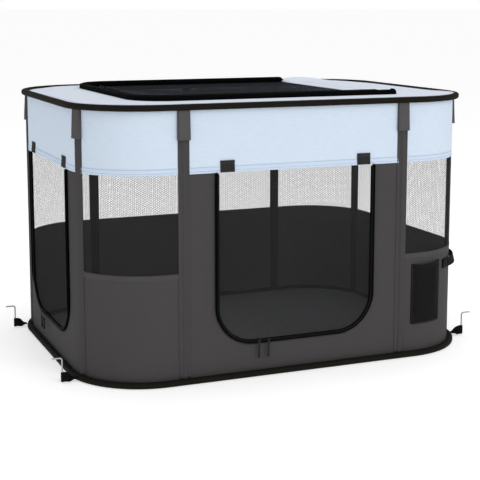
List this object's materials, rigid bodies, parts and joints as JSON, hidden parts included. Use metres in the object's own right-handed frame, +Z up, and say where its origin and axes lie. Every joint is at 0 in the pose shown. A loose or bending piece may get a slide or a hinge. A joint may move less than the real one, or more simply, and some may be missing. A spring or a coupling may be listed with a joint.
{
  "type": "pet playpen",
  "caption": "Rounded rectangular soft-sided pet playpen with mesh windows, two zipped mesh doors, a zipped mesh roof hatch, wire hoops, pole sleeves and ground stakes.",
  "frame": {"origin": "middle of the footprint, on the ground", "axes": "+Z up, +X along the length towards the end with the carry handle, the wide front door faces -Y and the side door faces -X"},
  "size_m": [1.22, 0.854, 0.7193],
  "materials": {
    "spring_steel": "spring wire",
    "binding": "woven polyester binding tape",
    "pole_fibreglass": "pultruded fibreglass rod",
    "grey_cloth": "plain woven coated polyester",
    "blue_cloth": "pale blue woven polyester",
    "roof_cloth": "pale blue woven polyester",
    "window_mesh": "fine knitted mesh",
    "hatch_mesh": "fine black knitted mesh",
    "floor_cloth": "padded woven polyester",
    "pocket_mesh": "close black mesh",
    "webbing": "woven polypropylene webbing",
    "hook_and_loop": "hook-and-loop tape",
    "zip_tape": "coil zip on woven tape",
    "slider_metal": "gunmetal plated",
    "pull_cord": "moulded end on braided cord",
    "stake_steel": "galvanised wire"
  },
  "bodies": {
    "root": {"rim_wire": "spring_steel", "rim_binding": "binding", "base_wire": "spring_steel", "base_binding": "binding", "support_poles": "pole_fibreglass", "pole_sleeves": "grey_cloth", "pole_pockets": "grey_cloth", "valance_front": "blue_cloth", "valance_back": "blue_cloth", "valance_left": "blue_cloth", "valance_right": "blue_cloth", "valance_corners": "blue_cloth", "front_wall": "grey_cloth", "left_wall": "grey_cloth", "back_wall": "grey_cloth", "right_wall": "grey_cloth", "corner_wall_front_left": "grey_cloth", "corner_wall_front_right": "grey_cloth", "corner_wall_back_left": "grey_cloth", "corner_wall_back_right": "grey_cloth", "back_window": "window_mesh", "right_window": "window_mesh", "corner_windows": "window_mesh", "roof_panel": "roof_cloth", "floor_mat": "floor_cloth", "storage_pocket": "pocket_mesh", "carry_handle": "webbing", "stake_loops": "webbing", "tab_patches": "hook_and_loop", "front_zip_tape": "zip_tape", "side_zip_tape": "zip_tape", "hatch_zip_tape": "zip_tape"},
    "front_door": {"front_door_mesh": "window_mesh", "front_door_zip": "zip_tape"},
    "side_door": {"side_door_mesh": "window_mesh", "side_door_zip": "zip_tape"},
    "hatch": {"hatch_mesh": "hatch_mesh", "hatch_border_cloth": "blue_cloth", "hatch_zip": "zip_tape"},
    "front_slider_left": {"front_slider_left": "slider_metal"},
    "front_slider_right": {"front_slider_right": "slider_metal"},
    "side_slider_back": {"side_slider_back": "slider_metal"},
    "side_slider_front": {"side_slider_front": "slider_metal"},
    "hatch_slider_front": {"hatch_slider_front": "slider_metal"},
    "hatch_slider_back": {"hatch_slider_back": "slider_metal"},
    "front_pull_left": {"front_pull_left": "pull_cord"},
    "front_pull_right": {"front_pull_right": "pull_cord"},
    "side_pull_back": {"side_pull_back": "pull_cord"},
    "side_pull_front": {"side_pull_front": "pull_cord"},
    "hatch_pull_front": {"hatch_pull_front": "pull_cord"},
    "hatch_pull_back": {"hatch_pull_back": "pull_cord"},
    "stake_front_left": {"stake_front_left": "stake_steel"},
    "stake_front_right": {"stake_front_right": "stake_steel"},
    "stake_back_left": {"stake_back_left": "stake_steel"},
    "stake_back_right": {"stake_back_right": "stake_steel"},
    "front_tab_left": {"front_tab_left": "hook_and_loop"},
    "front_tab_right": {"front_tab_right": "hook_and_loop"},
    "side_tab_back": {"side_tab_back": "hook_and_loop"},
    "side_tab_front": {"side_tab_front": "hook_and_loop"}
  },
  "joints": [
    {"name": "front_door_swing", "type": "hinge", "parent": "root", "child": "front_door", "pos_m": [0, -0.41, 0.527], "axis": [-1, 0, 0], "range_deg": [0, 110]},
    {"name": "side_door_swing", "type": "hinge", "parent": "root", "child": "side_door", "pos_m": [-0.54, 0, 0.527], "axis": [0, 1, 0], "range_deg": [0, 110]},
    {"name": "hatch_swing", "type": "hinge", "parent": "root", "child": "hatch", "pos_m": [0.334, 0, 0.7], "axis": [0, 1, 0], "range_deg": [0, 120]},
    {"name": "front_slider_left_run", "type": "slide", "parent": "front_door", "child": "front_slider_left", "axis": [-1, 0, 0], "range_m": [0, 0.004]},
    {"name": "front_slider_right_run", "type": "slide", "parent": "front_door", "child": "front_slider_right", "axis": [1, 0, 0], "range_m": [0, 0.192]},
    {"name": "side_slider_back_run", "type": "slide", "parent": "side_door", "child": "side_slider_back", "axis": [0, 1, 0], "range_m": [0, 0.009]},
    {"name": "side_slider_front_run", "type": "slide", "parent": "side_door", "child": "side_slider_front", "axis": [0, -1, 0], "range_m": [0, 0.149]},
    {"name": "hatch_slider_front_run", "type": "slide", "parent": "hatch", "child": "hatch_slider_front", "axis": [0, -1, 0], "range_m": [0, 0.225]},
    {"name": "hatch_slider_back_run", "type": "slide", "parent": "hatch", "child": "hatch_slider_back", "axis": [0, 1, 0], "range_m": [0, 0.175]},
    {"name": "front_pull_left_swing", "type": "hinge", "parent": "front_slider_left", "child": "front_pull_left", "pos_m": [-0.107, -0.4201, 0.09375], "axis": [-1, 0, 0], "range_deg": [0, 120]},
    {"name": "front_pull_right_swing", "type": "hinge", "parent": "front_slider_right", "child": "front_pull_right", "pos_m": [-0.081, -0.4201, 0.09375], "axis": [-1, 0, 0], "range_deg": [0, 120]},
    {"name": "side_pull_back_swing", "type": "hinge", "parent": "side_slider_back", "child": "side_pull_back", "pos_m": [-0.5501, 0.083, 0.09375], "axis": [0, 1, 0], "range_deg": [0, 120]},
    {"name": "side_pull_front_swing", "type": "hinge", "parent": "side_slider_front", "child": "side_pull_front", "pos_m": [-0.5501, 0.057, 0.09375], "axis": [0, 1, 0], "range_deg": [0, 120]},
    {"name": "hatch_pull_front_swing", "type": "hinge", "parent": "hatch_slider_front", "child": "hatch_pull_front", "pos_m": [-0.38125, 0.012, 0.7171], "axis": [0, -1, 0], "range_deg": [0, 150]},
    {"name": "hatch_pull_back_swing", "type": "hinge", "parent": "hatch_slider_back", "child": "hatch_pull_back", "pos_m": [-0.38125, 0.038, 0.7171], "axis": [0, -1, 0], "range_deg": [0, 150]},
    {"name": "stake_front_left_lift", "type": "slide", "parent": "root", "child": "stake_front_left", "axis": [0, 0, 1], "range_m": [0, 0.06]},
    {"name": "stake_front_right_lift", "type": "slide", "parent": "root", "child": "stake_front_right", "axis": [0, 0, 1], "range_m": [0, 0.06]},
    {"name": "stake_back_left_lift", "type": "slide", "parent": "root", "child": "stake_back_left", "axis": [0, 0, 1], "range_m": [0, 0.06]},
    {"name": "stake_back_right_lift", "type": "slide", "parent": "root", "child": "stake_back_right", "axis": [0, 0, 1], "range_m": [0, 0.06]},
    {"name": "front_tab_left_lift", "type": "hinge", "parent": "root", "child": "front_tab_left", "pos_m": [-0.1885, -0.4128, 0.55], "axis": [-1, 0, 0], "range_deg": [0, 110]},
    {"name": "front_tab_right_lift", "type": "hinge", "parent": "root", "child": "front_tab_right", "pos_m": [0.1885, -0.4128, 0.55], "axis": [-1, 0, 0], "range_deg": [0, 110]},
    {"name": "side_tab_back_lift", "type": "hinge", "parent": "root", "child": "side_tab_back", "pos_m": [-0.5428, 0.1695, 0.55], "axis": [0, 1, 0], "range_deg": [0, 110]},
    {"name": "side_tab_front_lift", "type": "hinge", "parent": "root", "child": "side_tab_front", "pos_m": [-0.5428, -0.1695, 0.55], "axis": [0, 1, 0], "range_deg": [0, 110]}
  ]
}
